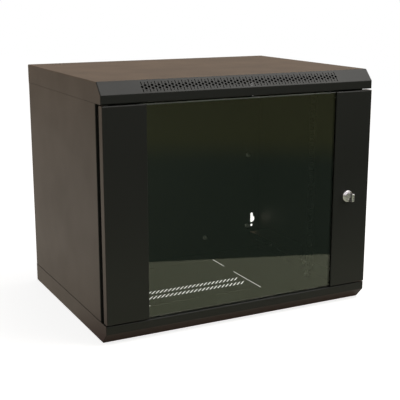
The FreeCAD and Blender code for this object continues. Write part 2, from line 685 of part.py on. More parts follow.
RAIL_OUTER = RACK_OPEN_X + RAIL_WIDE
BEAM_FAR = SIDE - PANEL_INSET - STEEL
BEAM_MIDDLE = BEAM_END + BEAM_HIGH / 2
BEAM_LONG = DEPTH - BEAM_FRONT - BEAM_BACK
BEAM_SLOT_STEP = BEAM_SLOT_LONG + BEAM_SLOT_WEB
BEAM_SLOTS = whole((BEAM_LONG - 2 * BEAM_SLOT_END + BEAM_SLOT_WEB) / BEAM_SLOT_STEP)
UNITS = whole((HEIGHT - 2 * RAIL_END) / UNIT)
BEAM_STUD_Z = BEAM_END + NUT_FLANGE / 2 + TOUCH_GAP


def rail_screw_points():
    middle = from_front(RAIL_FRONT + RAIL_DEEP / 2)
    lower = [(middle + step * RAIL_SCREW_STEP / 2, BEAM_MIDDLE) for step in (-1, 1)]
    return mirror_levels(lower)


def beam_stud_points():
    return mirror_levels([(from_front(BEAM_STUD_FRONT), BEAM_STUD_Z),
                          (BACK - BEAM_STUD_BACK, BEAM_STUD_Z)])


def rail(label, side):
    """Upright with the square 19 inch holes in its front flange."""
    body = new_body(label)
    front = from_front(RAIL_FRONT)
    back = front + RAIL_DEEP
    plan = new_sketch(body, "XY", RAIL_END)
    draw_outline(plan, [
        (side * RACK_OPEN_X, front), (side * RAIL_OUTER, front), (side * RAIL_OUTER, back),
        (side * (RAIL_OUTER - RAIL_SHEET), back),
        (side * (RAIL_OUTER - RAIL_SHEET), front + RAIL_SHEET),
        (side * RACK_OPEN_X, front + RAIL_SHEET)])
    last = pad(body, plan, HEIGHT - 2 * RAIL_END)

    def on_fold(edge, middle):
        return is_upright(edge) and near(middle.x, side * RAIL_OUTER) and near(middle.y, front)

    fillet(body, last, BEND, on_fold)
    rack_low = (HEIGHT - UNITS * UNIT) / 2
    holes = new_sketch(body, "XZ", -front)
    low_x, high_x = sorted((side * (RACK_HOLE_X - RACK_HOLE / 2),
                            side * (RACK_HOLE_X + RACK_HOLE / 2)), key=lambda size: size.value)
    for step in (1, 3.5, 6):
        z = rack_low + step * UNIT / 7
        draw_box(holes, low_x, high_x, z - RACK_HOLE / 2, z + RACK_HOLE / 2)
    unit_holes = pocket(body, holes, 3 * RAIL_SHEET)
    pattern(body, unit_holes, "V_Axis", UNIT, UNITS)
    screw_holes = new_sketch(body, "YZ", side * RAIL_OUTER)
    for y, z in rail_screw_points():
        draw_circle(screw_holes, y, z, STUD + 2 * STUD_SLACK)
    pocket(body, screw_holes, 3 * RAIL_SHEET)
    return body


def rail_support(label, side, upper):
    """Channel along the side panel that carries the rails at any depth, through its slots."""
    def level(distance):
        return HEIGHT - distance if upper else as_size(distance)

    body = new_body(label)
    shut = BEAM_END + BEAM_HIGH
    section = new_sketch(body, "XZ", -from_front(BEAM_FRONT))
    draw_outline(section, [(side * x, level(z)) for x, z in (
        (RAIL_OUTER, BEAM_END), (RAIL_OUTER, shut), (BEAM_FAR, shut), (BEAM_FAR, BEAM_END),
        (BEAM_FAR - BEAM_SHEET, BEAM_END), (BEAM_FAR - BEAM_SHEET, shut - BEAM_SHEET),
        (RAIL_OUTER + BEAM_SHEET, shut - BEAM_SHEET), (RAIL_OUTER + BEAM_SHEET, BEAM_END))])
    pad(body, section, BEAM_LONG, reverse=True)
    slots = new_sketch(body, "YZ", side * RAIL_OUTER)
    start = from_front(BEAM_FRONT + BEAM_SLOT_END) + BEAM_SLOT / 2
    end = start + BEAM_SLOT_LONG - BEAM_SLOT
    draw_slot(slots, (start, level(BEAM_MIDDLE)), (end, level(BEAM_MIDDLE)), BEAM_SLOT)
    first_slot = pocket(body, slots, 4 * BEAM_SHEET)
    pattern(body, first_slot, "H_Axis", BEAM_SLOT_STEP, BEAM_SLOTS)
    stud_holes = new_sketch(body, "YZ", side * BEAM_FAR)
    for y, z in beam_stud_points()[:2]:
        draw_circle(stud_holes, y, level(z), STUD + 2 * STUD_SLACK)
    pocket(body, stud_holes, 4 * BEAM_SHEET)
    return body


def rail_fixings():
    studs = new_body("support_studs")
    nuts = new_body("support_nuts")
    screws = new_body("rail_screws")
    screw_nuts = new_body("rail_nuts")
    head_face = RAIL_OUTER - RAIL_SHEET
    nut_face = RAIL_OUTER + BEAM_SHEET
    shank = RAIL_SHEET + BEAM_SHEET + NUT_FLANGE_HIGH + NUT_HIGH + TOUCH_GAP
    for side in (-1, 1):
        inward = side > 0
        add_rods(studs, "YZ", side * BEAM_FAR, beam_stud_points(), STUD_LONG, STUD, inward)
        add_nuts(nuts, "YZ", side * (BEAM_FAR - BEAM_SHEET), beam_stud_points(), inward)
        add_rods(screws, "YZ", side * head_face, rail_screw_points(), SCREW_HEAD_HIGH,
                 SCREW_HEAD, inward)
        add_rods(screws, "YZ", side * head_face, rail_screw_points(), shank, STUD, not inward)
        add_nuts(screw_nuts, "YZ", side * nut_face, rail_screw_points(), not inward)


def earth_point():
    stud = new_body("earth_stud")
    spot = [(EARTH_X, from_front(EARTH_BACK))]
    add_rods(stud, "XY", STEEL, spot, EARTH_LONG, EARTH_DIA)
    nut = new_body("earth_nut")
    add_nuts(nut, "XY", STEEL, spot, thread=EARTH_DIA, flats=EARTH_FLATS, high=NUT_HIGH)


# ---------------------------------------------------------------- door

DOOR_FACE = FRONT - DOOR_PROUD
DOOR_BACK = DOOR_FACE + DOOR_DEEP
DOOR_LOW = FLANGE + DOOR_GAP
DOOR_HIGH = HEIGHT - DOOR_LOW
DOOR_EDGE = SIDE - DOOR_SIDE
BAND_INNER = DOOR_EDGE - BAND_WIDE
GLASS_EDGE = BAND_INNER + BAND_LAP
GLASS_FACE = DOOR_FACE + GLASS_BACK
HINGE_X = HINGE_IN - SIDE
HINGE_Y = from_front(HINGE_BACK)
LOCK_X = SIDE - LOCK_IN
LOCK_UP = HEIGHT / 2 - LOCK_DOWN
PIN_COLLAR = DOOR_GAP - BUSH_HEAD - TOUCH_GAP


def door_band(label, side):
    """Folded steel edge of the door, with closed ends and a hidden flange that holds the glass."""
    body = new_body(label)
    bond_back = GLASS_FACE - TAPE
    plan = new_sketch(body, "XY", DOOR_LOW)
    draw_outline(plan, [(side * x, y) for x, y in (
        (DOOR_EDGE - BAND_HEM, DOOR_BACK), (DOOR_EDGE, DOOR_BACK), (DOOR_EDGE, DOOR_FACE),
        (BAND_INNER, DOOR_FACE), (BAND_INNER, bond_back), (GLASS_EDGE, bond_back),
        (GLASS_EDGE, bond_back - STEEL), (BAND_INNER + STEEL, bond_back - STEEL),
        (BAND_INNER + STEEL, DOOR_FACE + STEEL), (DOOR_EDGE - STEEL, DOOR_FACE + STEEL),
        (DOOR_EDGE - STEEL, DOOR_BACK - STEEL), (DOOR_EDGE - BAND_HEM, DOOR_BACK - STEEL))])
    last = pad(body, plan, DOOR_HIGH - DOOR_LOW)
    half = STEEL / 2
    for z in (DOOR_LOW, DOOR_HIGH - STEEL):
        plate = new_sketch(body, "XY", z)
        draw_outline(plate, [(side * x, y) for x, y in (
            (BAND_INNER + half, DOOR_FACE + half), (DOOR_EDGE - half, DOOR_FACE + half),
            (DOOR_EDGE - half, DOOR_BACK - half), (GLASS_EDGE + BAND_CLEAR, DOOR_BACK - half),
            (GLASS_EDGE + BAND_CLEAR, bond_back - half), (BAND_INNER + half, bond_back - half))])
        last = pad(body, plate, STEEL)

    def on_fold(edge, middle):
        at_edge = near(middle.x, side * DOOR_EDGE)
        at_glass = near(middle.x, side * BAND_INNER)
        at_face = near(middle.y, DOOR_FACE)
        if edge.BoundBox.XLength > BAND_WIDE.value / 2:
            return at_face and (near(middle.z, DOOR_LOW) or near(middle.z, DOOR_HIGH))
        return (is_upright(edge) and edge.Length > FLANGE.value
                and ((at_edge and (at_face or near(middle.y, DOOR_BACK)))
                     or (at_glass and at_face)))

    fillet(body, last, SOFT_BEND, on_fold)
    return body


def door_left():
    body = door_band("door_band_left", -1)
    for z in (DOOR_LOW, DOOR_HIGH):
        hole = new_sketch(body, "XY", z)
        draw_circle(hole, HINGE_X, HINGE_Y, BUSH_DIA + 2 * RUN_GAP)
        pocket(body, hole, 4 * STEEL)


def door_right():
    body = door_band("door_band_right", 1)
    hole = new_sketch(body, "XZ", -DOOR_FACE)
    draw_circle(hole, LOCK_X, LOCK_UP, BARREL_DIA + 2 * RUN_GAP)
    pocket(body, hole, 4 * STEEL)


def glass():
    body = new_body("door_glass")
    pane = new_sketch(body, "XZ", -GLASS_FACE)
    draw_box(pane, -GLASS_EDGE, GLASS_EDGE, DOOR_LOW, DOOR_HIGH)
    last = pad(body, pane, GLASS_THICK, reverse=True)
    fillet(body, last, GLASS_ROUND, lambda edge, middle: edge.BoundBox.XLength > GLASS_EDGE.value)
    for label, side in (("glass_tape_left", -1), ("glass_tape_right", 1)):
        tape = new_body(label)
        strip = new_sketch(tape, "XZ", -GLASS_FACE)
        start = (BAND_INNER + GLASS_EDGE - TAPE_WIDE) / 2
        low_x, high_x = sorted((side * start, side * (start + TAPE_WIDE)),
                               key=lambda size: size.value)
        draw_box(strip, low_x, high_x, DOOR_LOW + BAND_CLEAR, DOOR_HIGH - BAND_CLEAR)
        pad(tape, strip, TAPE)


# ---------------------------------------------------------------- hinges

def bush(label, z, upper):
    """Nylon bush in the door's end plate; its head lies outside the door."""
    body = new_body(label)
    bore = PIN / 2 + RUN_GAP
    turn = -1 if upper else 1
    revolve(body, [(radius, turn * height) for radius, height in (
        (bore, -BUSH_HEAD), (PIN_COLLAR_DIA / 2, -BUSH_HEAD), (PIN_COLLAR_DIA / 2, 0),
        (BUSH_DIA / 2, 0), (BUSH_DIA / 2, BUSH_LONG), (bore, BUSH_LONG))])
    place(body, HINGE_X, HINGE_Y, z)


def lower_hinge():
    pin = new_body("hinge_pin_lower")
    radius = PIN / 2
    head = HINGE_BACK - STEEL - TOUCH_GAP
    collar = PIN_COLLAR_DIA / 2
    point = PIN / 6
    revolve(pin, [
        (0, -2 * STEEL), (head, -2 * STEEL), (head, -STEEL), (radius, -STEEL), (radius, 0),
        (collar, 0), (collar, PIN_COLLAR), (radius, PIN_COLLAR), (radius, PIN_UP - point),
        (radius - point, PIN_UP), (0, PIN_UP)])
    place(pin, HINGE_X, HINGE_Y, FLANGE)
    bush("hinge_bush_lower", DOOR_LOW, False)


PLATE_Z = DOOR_HIGH - PLATE_DROP
CLIP_TOP = DOOR_HIGH - BUSH_LONG - RUN_GAP
TAIL_Z = HEIGHT - FLANGE + LATCH_REACH - LATCH_LONG


def hinge_bracket():
    """Angle spot-welded inside the left band; its lower leg carries the spring."""
    body = new_body("hinge_bracket")
    wall = DOOR_FACE + STEEL
    edge = DOOR_BACK - STEEL - TOUCH_GAP
    section = new_sketch(body, "YZ", HINGE_X - BRACKET_WIDE / 2)
    draw_outline(section, [
        (wall, PLATE_Z), (edge, PLATE_Z), (edge, PLATE_Z + BEAM_SHEET),
        (wall + BEAM_SHEET, PLATE_Z + BEAM_SHEET), (wall + BEAM_SHEET, PLATE_Z + BRACKET_TALL),
        (wall, PLATE_Z + BRACKET_TALL)])
    pad(body, section, BRACKET_WIDE)
    hole = new_sketch(body, "XY", PLATE_Z)
    draw_circle(hole, HINGE_X, HINGE_Y, PIN + 2 * RUN_GAP)
    pocket(body, hole, 4 * BEAM_SHEET)


def latch_pin():
    """The upper hinge pin: a rod whose lower end is bent into a finger tail."""
    body = new_body("hinge_pin_upper")
    section = new_sketch(body, "XY", LATCH_LONG)
    draw_circle(section, 0, 0, PIN)
    path = new_sketch(body, "XZ")
    bend = LATCH_BEND.value
    low = bend * (1 - 0.5 ** 0.5)
    rod = path.addGeometry(
        Part.LineSegment(Vector(0, LATCH_LONG.value, 0), Vector(0, bend, 0)), False)
    curve = path.addGeometry(
        Part.Arc(Vector(0, bend, 0), Vector(low, low, 0), Vector(bend, 0, 0)), False)
    tail = path.addGeometry(
        Part.LineSegment(Vector(bend, 0, 0), Vector(LATCH_TAIL.value, 0, 0)), False)
    path.addConstraint(Sketcher.Constraint("Tangent", rod, 2, curve, 1))
    path.addConstraint(Sketcher.Constraint("Tangent", curve, 2, tail, 1))
    pin_point(path, rod, 1, 0, LATCH_LONG)
    pin_point(path, tail, 2, LATCH_TAIL, 0)
    pin_point(path, curve, 3, LATCH_BEND, LATCH_BEND)
    pipe = body.newObject("PartDesign::AdditivePipe", "latch_rod")
    pipe.Profile = section
    pipe.Spine = (path, ["Edge1", "Edge2", "Edge3"])
    pipe.Transition = "Transformed"
    place(body, HINGE_X, HINGE_Y, TAIL_Z)


def latch_clip():
    body = new_body("hinge_clip")
    bore = PIN / 2 + RUN_GAP
    revolve(body, [(bore, -CLIP_THICK), (CLIP_DIA / 2, -CLIP_THICK), (CLIP_DIA / 2, 0), (bore, 0)])
    place(body, HINGE_X, HINGE_Y, CLIP_TOP)


def latch_spring():
    """Open coil spring between the bracket's lower leg and the clip."""
    body = new_body("hinge_spring")
    foot = PLATE_Z + BEAM_SHEET
    length = CLIP_TOP - CLIP_THICK - foot
    wire = new_sketch(body, "XZ")
    draw_circle(wire, SPRING_DIA / 2, SPRING_WIRE / 2 + RUN_GAP, SPRING_WIRE)
    coil = body.newObject("PartDesign::AdditiveHelix", "spring_coil")
    coil.Profile = wire
    coil.ReferenceAxis = (wire, ["V_Axis"])
    coil.Mode = "height-turns-growth"
    bind(coil, "Height", length - SPRING_WIRE - 2 * RUN_GAP)
    bind(coil, "Turns", SPRING_TURNS)
    place(body, HINGE_X, HINGE_Y, foot)


# ---------------------------------------------------------------- lock

CAM_DEPTH = DOOR_PROUD + PANEL_FRONT + STEEL + CAM_GAP
TURN_FOOT = -ROSETTE_HIGH - RUN_GAP
FACING_BACK = -90


def place_lock_piece(body):
    """Lock pieces are modelled with Z running into the cabinet from the door's face."""
    place(body, LOCK_X, DOOR_FACE, LOCK_UP, tilt=FACING_BACK)


def lock_body():
    body = new_body("lock_body")
    bore = CORE_DIA / 2 + RUN_GAP
    rim = ROSETTE_DIA / 2
    turned = revolve(body, [
        (bore, -ROSETTE_HIGH), (rim, -ROSETTE_HIGH), (rim, 0), (BARREL_DIA / 2, 0),
        (BARREL_DIA / 2, CAM_DEPTH - TOUCH_GAP), (bore, CAM_DEPTH - TOUCH_GAP)])

    def on_rim(edge, middle):
        return near(edge.BoundBox.XLength, ROSETTE_DIA) and near(middle.z, -ROSETTE_HIGH)

    fillet(body, turned, ROSETTE_ROUND, on_rim)
    place_lock_piece(body)

    nut = new_body("lock_nut")
    ring = new_sketch(nut, "XY", STEEL)
    draw_hexagon(ring, as_size(0), as_size(0), LOCK_NUT_FLATS)
    draw_circle(ring, 0, 0, BARREL_DIA + 2 * RUN_GAP)
    pad(nut, ring, LOCK_NUT_HIGH)
    place_lock_piece(nut)


def lock_turn():
    """Thumb-turn and core in one piece; its square end drives the cam."""
    body = new_body("lock_turn")
    core = new_sketch(body, "XY", TURN_FOOT)
    draw_circle(core, 0, 0, CORE_DIA)
    pad(body, core, CAM_DEPTH - TURN_FOOT)
    square = new_sketch(body, "XY", CAM_DEPTH)
    half = CAM_SQUARE / 2
    draw_box(square, -half, half, -half, half)
    pad(body, square, CAM_THICK - RUN_GAP)
    foot = new_sketch(body, "XY", TURN_FOOT)
    draw_circle(foot, 0, 0, BOSS_DIA)
    pad(body, foot, BOSS_HIGH, reverse=True)
    wing = new_sketch(body, "XY", TURN_FOOT)
    draw_box(wing, -WING_THICK / 2, WING_THICK / 2, -WING_TALL / 2, WING_TALL / 2)
    last = pad(body, wing, WING_OUT, reverse=True)
    wing_end = (TURN_FOOT - WING_OUT).value

    def on_wing(edge, middle):
        beyond_foot = middle.z < (TURN_FOOT - BOSS_HIGH).value - 0.1
        corner = near(abs(middle.y), WING_TALL / 2) and near(edge.BoundBox.ZLength, 0)
        return beyond_foot and (corner or near(middle.z, wing_end))

    fillet(body, last, WING_ROUND, on_wing)
    thread = new_sketch(body, "XY", CAM_DEPTH)
    draw_circle(thread, 0, 0, CAM_SCREW + 2 * RUN_GAP)
    pocket(body, thread, 2 * SCREW_BITE)
    place_lock_piece(body)

    cam = new_body("lock_cam")
    arm = new_sketch(cam, "XY", CAM_DEPTH)
    draw_slot(arm, (0, 0), (0, CAM_LONG - CAM_WIDE / 2), CAM_WIDE)
    eye = half + RUN_GAP
    draw_box(arm, -eye, eye, -eye, eye)
    pad(cam, arm, CAM_THICK)
    place_lock_piece(cam)

    screw = new_body("lock_cam_screw")
    back = [(as_size(0), as_size(0))]
    seat = CAM_DEPTH + CAM_THICK
    add_rods(screw, "XY", seat, back, SCREW_HEAD_HIGH, SCREW_HEAD)
    add_rods(screw, "XY", seat, back, CAM_THICK + SCREW_BITE - 2 * TOUCH_GAP, CAM_SCREW, True)
    place_lock_piece(screw)


def bumpers():
    """Rubber buffers on the right side panel's front fold, which the shut door rests on."""
    body = new_body("door_bumpers")
    x = SIDE - PANEL_INSET - BUMPER_IN
    length = PANEL_FRONT + DOOR_PROUD - DOOR_DEEP - TOUCH_GAP
    add_rods(body, "XZ", -from_front(PANEL_FRONT), [(x, BUMPER_UP), (x, HEIGHT - BUMPER_UP)],
             length, BUMPER_DIA)


# ---------------------------------------------------------------- build, check and write

base = tray("base_tray", upper=False)
cut_vents(base)
cut_knockout(base)
roof = tray("roof_tray", upper=True)
cut_perforation(roof)
side_panel("side_panel_left", -1)
side_panel("side_panel_right", 1)
rear_panel()
panel_fixings()
rail("rail_left", -1)
rail("rail_right", 1)
for level_name, is_upper in (("lower", False), ("upper", True)):
    for side_name, direction in (("left", -1), ("right", 1)):
        rail_support(f"rail_support_{level_name}_{side_name}", direction, is_upper)
rail_fixings()
earth_point()
door_left()
door_right()
glass()
lower_hinge()
bush("hinge_bush_upper", DOOR_HIGH, True)
hinge_bracket()
latch_pin()
latch_clip()
latch_spring()
lock_body()
lock_turn()
bumpers()

doc.recompute()
for item in doc.Objects:
    if "Invalid" in item.State or "Error" in item.State:
        raise RuntimeError(f"{item.Label} failed: {item.State}")

os.makedirs("parts", exist_ok=True)
for body in [item for item in doc.Objects if item.TypeId == "PartDesign::Body"]:
    shape = body.Shape
    if shape.isNull() or not shape.isValid() or not shape.Solids:
        raise RuntimeError(f"{body.Label} has no valid shape")
    shape.exportStep(os.path.join("parts", body.Label + ".step"))
    print(f"{body.Label}: {len(shape.Solids)} solids, {shape.Volume:.0f} mm3")
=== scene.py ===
"""Looks of the wall mount network cabinet: finishes, hinge spring, floor, light and camera."""
import json
import math

import bpy
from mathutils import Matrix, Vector


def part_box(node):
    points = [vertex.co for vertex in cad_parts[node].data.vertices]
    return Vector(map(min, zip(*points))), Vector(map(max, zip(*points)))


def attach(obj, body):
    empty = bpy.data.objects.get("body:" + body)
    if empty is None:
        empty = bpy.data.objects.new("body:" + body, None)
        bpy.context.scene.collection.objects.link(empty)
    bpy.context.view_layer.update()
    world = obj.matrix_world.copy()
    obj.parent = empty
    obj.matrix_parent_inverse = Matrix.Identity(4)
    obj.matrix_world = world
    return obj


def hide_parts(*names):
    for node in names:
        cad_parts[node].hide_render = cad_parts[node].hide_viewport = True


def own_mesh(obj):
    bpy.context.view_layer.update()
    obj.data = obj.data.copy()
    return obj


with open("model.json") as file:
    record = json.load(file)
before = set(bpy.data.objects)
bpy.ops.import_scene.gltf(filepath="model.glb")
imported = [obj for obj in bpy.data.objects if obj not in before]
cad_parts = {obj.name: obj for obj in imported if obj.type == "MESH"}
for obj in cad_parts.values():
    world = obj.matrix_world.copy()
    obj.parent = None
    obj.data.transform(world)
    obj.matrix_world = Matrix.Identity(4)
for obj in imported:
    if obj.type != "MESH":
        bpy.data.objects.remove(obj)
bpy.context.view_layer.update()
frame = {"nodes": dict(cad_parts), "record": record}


# ---------------------------------------------------------------- node helpers

# between these two values lies nearly all of a noise texture
NOISE_LOW = 0.3
NOISE_HIGH = 0.7
# parts none from one, in flags and in counts of bounces
HALF = 0.5


class Shade:
    """The node tree of a material or world, with short calls for the nodes that repeat."""

    def __init__(self, owner, output="OutputMaterial"):
        self.owner = owner
        owner.use_nodes = True
        self.tree = owner.node_tree
        self.tree.nodes.clear()
        self.output = self.node(output)

    def node(self, kind, **settings):
        made = self.tree.nodes.new("ShaderNode" + kind)
        for key, value in settings.items():
            setattr(made, key, value)
        return made

    def link(self, source, target):
        self.tree.links.new(source, target)

    def feed(self, socket, value):
        """Link value where it is a socket, or else set it as the socket's own value."""
        if isinstance(value, bpy.types.NodeSocket):
            self.link(value, socket)
        else:
            socket.default_value = value

    def tint(self, socket, colour):
        """As feed, for a colour: a socket, or red, green and blue."""
        self.feed(socket, colour if isinstance(colour, bpy.types.NodeSocket) else (*colour, 1))

    def place(self):
        """Object coordinates, which are the row's own metres."""
        return self.node("TexCoord").outputs["Object"]

    def axis(self, source, name):
        """The X, Y or Z of a vector."""
        split = self.node("SeparateXYZ")
        self.link(source, split.inputs[0])
        return split.outputs[name]

    def noise(self, scale, detail, stretch=None):
        made = self.node("TexNoise")
        made.inputs["Scale"].default_value = scale
        made.inputs["Detail"].default_value = detail
        source = self.place()
        if stretch:
            mapping = self.node("Mapping")
            mapping.inputs["Scale"].default_value = stretch
            self.link(source, mapping.inputs["Vector"])
            source = mapping.outputs["Vector"]
        self.link(source, made.inputs["Vector"])
        return made.outputs["Fac"]

    def ramp(self, source, stops):
        made = self.node("ValToRGB")
        ramp = made.color_ramp
        while len(ramp.elements) < len(stops):
            ramp.elements.new(0.5)
        for element, (place, colour) in zip(ramp.elements, stops):
            element.position = place
            element.color = (*colour, 1)
        self.link(source, made.inputs["Fac"])
        return made.outputs["Color"]

    def tones(self, noise, dark, light):
        """A colour that wanders between dark and light with the noise."""
        return self.ramp(noise, [(NOISE_LOW, dark), (NOISE_HIGH, light)])

    def spread(self, source, low, high, from_low=NOISE_LOW, from_high=NOISE_HIGH):
        made = self.node("MapRange")
        made.inputs["From Min"].default_value = from_low
        made.inputs["From Max"].default_value = from_high
        made.inputs["To Min"].default_value = low
        made.inputs["To Max"].default_value = high
        self.link(source, made.inputs["Value"])
        return made.outputs["Result"]

    def bump(self, height, distance, strength):
        made = self.node("Bump")
        made.inputs["Distance"].default_value = distance
        made.inputs["Strength"].default_value = strength
        self.link(height, made.inputs["Height"])
        return made.outputs["Normal"]

    def math(self, operation, first, second):
        """One Math node; first is a socket, second a socket or a number."""
        made = self.node("Math", operation=operation)
        self.link(first, made.inputs[0])
        self.feed(made.inputs[1], second)
        return made.outputs[0]

    def ray_kinds(self):
        """Two flags: a ray seen straight or through glass, and a ray seen in gloss."""
        path = self.node("LightPath").outputs
        depth = self.math("ADD", path["Glossy Depth"], path["Diffuse Depth"])
        straight = self.math("LESS_THAN", depth, HALF)
        through = self.math("MULTIPLY", path["Is Transmission Ray"], straight)
        seen = self.math("MAXIMUM", path["Is Camera Ray"], through)
        undiffused = self.math("LESS_THAN", path["Diffuse Depth"], HALF)
        mirrored = self.math("MULTIPLY", path["Is Glossy Ray"], undiffused)
        glossy = self.math("MULTIPLY", mirrored, self.math("LESS_THAN", seen, HALF))
        return seen, glossy

    def mix(self, factor, first, second):
        made = self.node("MixShader")
        self.link(factor, made.inputs["Fac"])
        self.link(first, made.inputs[1])
        self.link(second, made.inputs[2])
        return made.outputs[0]

    def add(self, first, second):
        made = self.node("AddShader")
        self.link(first, made.inputs[0])
        self.link(second, made.inputs[1])
        return made.outputs[0]

    def glow(self, colour, strength):
        made = self.node("Emission")
        self.tint(made.inputs["Color"], colour)
        self.link(strength, made.inputs["Strength"])
        return made.outputs[0]

    def background(self, colour, strength=1.0):
        made = self.node("Background")
        self.tint(made.inputs["Color"], colour)
        made.inputs["Strength"].default_value = strength
        return made.outputs[0]

    def principled(self, **sockets):
        """A Principled shader; an underscore in a name stands for the space in its socket's."""
        made = self.node("BsdfPrincipled")
        for name, value in sockets.items():
            self.feed(made.inputs[name.replace("_", " ")], value)
        return made.outputs[0]

    def finish(self, shader):
        self.link(shader, self.output.inputs["Surface"])
        return self.owner


def new_shade(name):
    return Shade(bpy.data.materials.new(name))


# ---------------------------------------------------------------- materials

# scales count a noise's features along a metre; depths are in metres
COAT_DARK = (0.0052, 0.0054, 0.0046)
COAT_LIGHT = (0.0068, 0.0070, 0.0062)
COAT_ROUGHNESS = (0.50, 0.54)
COAT_SPECULAR = 0.35
PEEL_DEPTH = 0.00004
PEEL_STRENGTH = 0.4


def powder_coat():
    """Black powder coat: a fine orange-peel texture and slight changes of sheen."""
    s = new_shade("powder_coat")
    colour = s.tones(s.noise(scale=5, detail=3), COAT_DARK, COAT_LIGHT)
    rough = s.spread(s.noise(scale=12, detail=2), *COAT_ROUGHNESS)
    peel = s.bump(s.noise(scale=1500, detail=2), PEEL_DEPTH, PEEL_STRENGTH)
    return s.finish(s.principled(Base_Color=colour, Roughness=rough,
                                 Specular_IOR_Level=COAT_SPECULAR, Normal=peel))


GLASS_RIM = 0.0021
RIM_ROUGHNESS = 0.5
GLASS_IOR = 1.5
GLASS_DARK = (0.90, 0.93, 0.88)
GLASS_LIGHT = (0.92, 0.945, 0.90)
GLASS_SHADOW = (0.86, 0.9, 0.84)


def glass():
    """Clear tempered glass with a faint green body and a ground top rim.

    A shadow ray meets a tinted clear sheet instead, so lamps reach what is behind the door.
    """
    s = new_shade("door_glass")
    rim_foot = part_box("door_glass")[1][2] - GLASS_RIM
    on_rim = s.math("GREATER_THAN", s.axis(s.place(), "Z"), rim_foot)
    rough = s.math("MULTIPLY", on_rim, RIM_ROUGHNESS)
    body = s.tones(s.noise(scale=14, detail=3), GLASS_DARK, GLASS_LIGHT)
    pane = s.principled(Base_Color=body, Roughness=rough, IOR=GLASS_IOR, Transmission_Weight=1.0)
    clear = s.node("BsdfTransparent")
    s.tint(clear.inputs["Color"], GLASS_SHADOW)
    shadow = s.node("LightPath").outputs["Is Shadow Ray"]
    return s.finish(s.mix(shadow, pane, clear.outputs[0]))


def metal(name, texture, dark, light, rough, sheen=None, dents=None):
    """Bare or plated metal.

    texture and sheen are settings of the noise that drives tone and the one that drives
    roughness, which is the same one where sheen is left out. dents is a depth and a strength.
    """
    s = new_shade(name)
    grain = s.noise(**texture)
    sockets = {
        "Base_Color": s.tones(grain, dark, light),
        "Metallic": 1.0,
        "Roughness": s.spread(s.noise(**sheen) if sheen else grain, *rough),
    }
    if dents:
        sockets["Normal"] = s.bump(grain, *dents)
    return s.finish(s.principled(**sockets))


MATT_DEPTH = 0.00008
MATT_STRENGTH = 0.6


def dull_black(name, scale, dark, light, rough):
    """Rubber, nylon and foam tape: mottled blacks that differ in sheen and grain."""
    s = new_shade(name)
    grain = s.noise(scale=scale, detail=3)
    return s.finish(s.principled(Base_Color=s.tones(grain, (dark,) * 3, (light,) * 3),
                                 Roughness=s.spread(grain, *rough),
                                 Normal=s.bump(grain, MATT_DEPTH, MATT_STRENGTH)))


FINISHES = {
    "powder_coat": powder_coat(),
    "glass": glass(),
    "zinc": metal("zinc", {"scale": 420, "detail": 3}, dark=(0.46, 0.46, 0.44),
                  light=(0.62, 0.61, 0.58), rough=(0.28, 0.42), sheen={"scale": 900, "detail": 2}),
    "chrome": metal("satin_nickel", {"scale": 260, "detail": 3}, dark=(0.66, 0.63, 0.67),
                    light=(0.86, 0.83, 0.87), rough=(0.22, 0.34),
                    sheen={"scale": 500, "detail": 3}, dents=(0.0004, 0.5)),
    "spring_steel": metal("spring_steel", {"scale": 1500, "detail": 2}, dark=(0.30, 0.30, 0.29),
                          light=(0.42, 0.41, 0.39), rough=(0.3, 0.4)),
    # turned steel, so its tool marks run round and lie close together along Z
    "black_oxide": metal("black_oxide", {"scale": 1200, "detail": 2, "stretch": (1, 1, 6)},
                         dark=(0.018, 0.018, 0.019), light=(0.032, 0.032, 0.034),
                         rough=(0.3, 0.42)),
    "rubber": dull_black("rubber", scale=700, dark=0.012, light=0.02, rough=(0.6, 0.8)),
    "nylon": dull_black("nylon", scale=500, dark=0.018, light=0.028, rough=(0.4, 0.55)),
    "tape": dull_black("foam_tape", scale=1200, dark=0.01, light=0.016, rough=(0.85, 0.95)),
}
for part in frame["record"]["subparts"]:
    item = frame["nodes"][part["node"]]
    item.data.materials.clear()
    item.data.materials.append(FINISHES[part["material_slot"]])


# ---------------------------------------------------------------- hinge spring

SPRING_WIRE = 0.001
SPRING_TURNS = 7
TURN_POINTS = 36
WIRE_RESOLUTION = 3


def climb(turn, closed):
    """Share of the rise at a turn: each end turn climbs only the closed share of it."""
    if turn < 1:
        return closed * turn
    if turn > SPRING_TURNS - 1:
        return 1 - closed * (SPRING_TURNS - turn)
    return closed + (1 - 2 * closed) * (turn - 1) / (SPRING_TURNS - 2)


